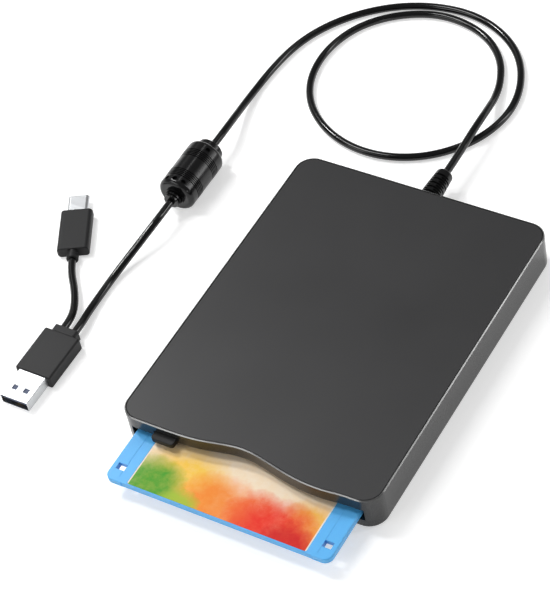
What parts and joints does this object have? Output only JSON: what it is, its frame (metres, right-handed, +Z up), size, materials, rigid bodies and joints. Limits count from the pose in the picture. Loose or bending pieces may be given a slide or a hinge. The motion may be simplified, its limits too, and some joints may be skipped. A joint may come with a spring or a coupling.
{
  "type": "external floppy disk drive",
  "caption": "Slim external floppy disk drive with a diskette half ejected from its front slot, an eject button, and a looped USB cord with ferrite bead, A plug and C plug.",
  "frame": {"origin": "middle of the case in plan, on the surface the feet stand on", "axes": "+X to the right seen from the front, +Y from the slot to the back, +Z up"},
  "size_m": [0.1857, 0.2629, 0.0154],
  "materials": {
    "case_shell": "metallic grey moulded plastic, satin",
    "cover_panel": "charcoal satin plastic",
    "soft_rubber": "black rubber",
    "zinc_steel": "zinc plated sheet steel",
    "bright_steel": "polished steel",
    "screw_steel": "blackened steel screw",
    "button_plastic": "black moulded plastic",
    "engineering_plastic": "natural acetal",
    "board_green": "solder-masked circuit board",
    "chip_black": "moulded chip packages and connectors",
    "copper_coil": "enamelled copper wire",
    "magnet_dark": "bonded magnet",
    "aluminium_part": "cast aluminium",
    "ceramic_head": "ceramic read head",
    "ribbon_film": "flat cable film",
    "disk_blue": "light blue moulded plastic",
    "label_paper": "printed paper label, abstract colour wash",
    "shutter_metal": "stainless shutter sheet",
    "media_film": "magnetic film",
    "cord_black": "black PVC sheath",
    "bead_black": "black moulded bead, semi gloss",
    "ferrite": "sintered ferrite",
    "plug_grip": "dark grey overmould",
    "plug_shell": "nickel plated shell",
    "plug_tongue": "blue contact tongue",
    "plug_tongue_black": "black contact tongue",
    "gold_contact": "gold plated contact"
  },
  "bodies": {
    "case": {"lower_case": "case_shell", "top_cover": "cover_panel", "rubber_feet": "soft_rubber", "lid_screws": "screw_steel", "chassis": "zinc_steel", "chassis_screws": "screw_steel", "shield_plate": "zinc_steel", "disk_holder": "zinc_steel", "motor_board": "board_green", "motor_bearing": "bright_steel", "motor_stator": "zinc_steel", "stator_coils": "copper_coil", "stepper_motor": "zinc_steel", "guide_rod": "bright_steel", "eject_spring": "bright_steel", "ejector_spring": "bright_steel", "drive_board": "board_green", "drive_board_parts": "chip_black", "bridge_board": "board_green", "bridge_board_parts": "chip_black", "board_ribbon": "ribbon_film", "inner_lead": "cord_black", "strain_relief": "cord_black", "cord": "cord_black", "ferrite_shell": "bead_black", "ferrite_core": "ferrite", "usb_a_grip": "plug_grip", "usb_a_shell": "plug_shell", "usb_a_tongue": "plug_tongue", "usb_a_contacts": "gold_contact", "pigtail_cord": "cord_black", "usb_c_grip": "plug_grip", "usb_c_shell": "plug_shell", "usb_c_tongue": "plug_tongue_black"},
    "spindle": {"rotor": "zinc_steel", "rotor_magnet": "magnet_dark", "spindle_shaft": "bright_steel", "drive_pin": "bright_steel"},
    "lead_screw": {"lead_screw": "bright_steel"},
    "carriage": {"head_carriage": "aluminium_part", "lower_head": "ceramic_head", "arm_pivot_pin": "bright_steel", "arm_spring": "bright_steel"},
    "upper_arm": {"upper_head_arm": "aluminium_part", "upper_head": "ceramic_head"},
    "eject_slide": {"eject_slide": "zinc_steel", "eject_button": "button_plastic"},
    "ejector": {"disk_ejector": "zinc_steel"},
    "opener": {"shutter_opener": "engineering_plastic"},
    "diskette": {"disk_lower_shell": "disk_blue", "disk_upper_shell": "disk_blue", "disk_label": "label_paper", "shutter_spring": "bright_steel"},
    "shutter": {"disk_shutter": "shutter_metal"},
    "media": {"disk_hub": "zinc_steel", "disk_media": "media_film"},
    "protect_tab": {"write_protect_tab": "disk_blue"}
  },
  "joints": [
    {"name": "eject_press", "type": "slide", "parent": "case", "child": "eject_slide", "axis": [0, 1, 0], "range_m": [0, 0.003], "stiffness_N_per_m": 200, "springref_m": -0.002, "deforming": ["eject_spring"]},
    {"name": "disk_load", "type": "slide", "parent": "case", "child": "ejector", "axis": [0, 1, 0], "range_m": [0, 0.0225], "stiffness_N_per_m": 20, "springref_m": -0.02, "deforming": ["ejector_spring"]},
    {"name": "disk_remove", "type": "slide", "parent": "ejector", "child": "diskette", "axis": [0, -1, 0], "range_m": [0, 0.074]},
    {"name": "shutter_open", "type": "slide", "parent": "diskette", "child": "shutter", "axis": [-1, 0, 0], "range_m": [0, 0.016], "stiffness_N_per_m": 20, "springref_m": -0.01, "deforming": ["shutter_spring"]},
    {"name": "opener_shift", "type": "slide", "parent": "case", "child": "opener", "axis": [-0.5795, 0.815, 0], "range_m": [0, 0.02761]},
    {"name": "spindle_spin", "type": "hinge", "parent": "case", "child": "spindle", "pos_m": [0, -0.0189, 0], "axis": [0, 0, 1], "continuous": true},
    {"name": "media_spin", "type": "hinge", "parent": "diskette", "child": "media", "pos_m": [0, -0.0414, 0.00675], "axis": [0, 0, 1], "continuous": true},
    {"name": "screw_turn", "type": "hinge", "parent": "case", "child": "lead_screw", "pos_m": [0.01, 0.0295, 0.0083], "axis": [0, 1, 0], "range_deg": [0, 1421]},
    {"name": "head_step", "type": "slide", "parent": "case", "child": "carriage", "axis": [0, -1, 0], "range_m": [0, 0.0148]},
    {"name": "arm_lower", "type": "hinge", "parent": "carriage", "child": "upper_arm", "pos_m": [0, 0.0484, 0.0111], "axis": [1, 0, 0], "range_deg": [0, 4]},
    {"name": "protect_slide", "type": "slide", "parent": "diskette", "child": "protect_tab", "axis": [0, 1, 0], "range_m": [0, 0.0034]}
  ],
  "couplings": [
    {"joint": "shutter_open", "follows": "disk_load", "ratio": 0.71111},
    {"joint": "opener_shift", "follows": "disk_load", "ratio": 1.2271},
    {"joint": "screw_turn", "follows": "head_step", "rad_per_m": 1675.5}
  ]
}
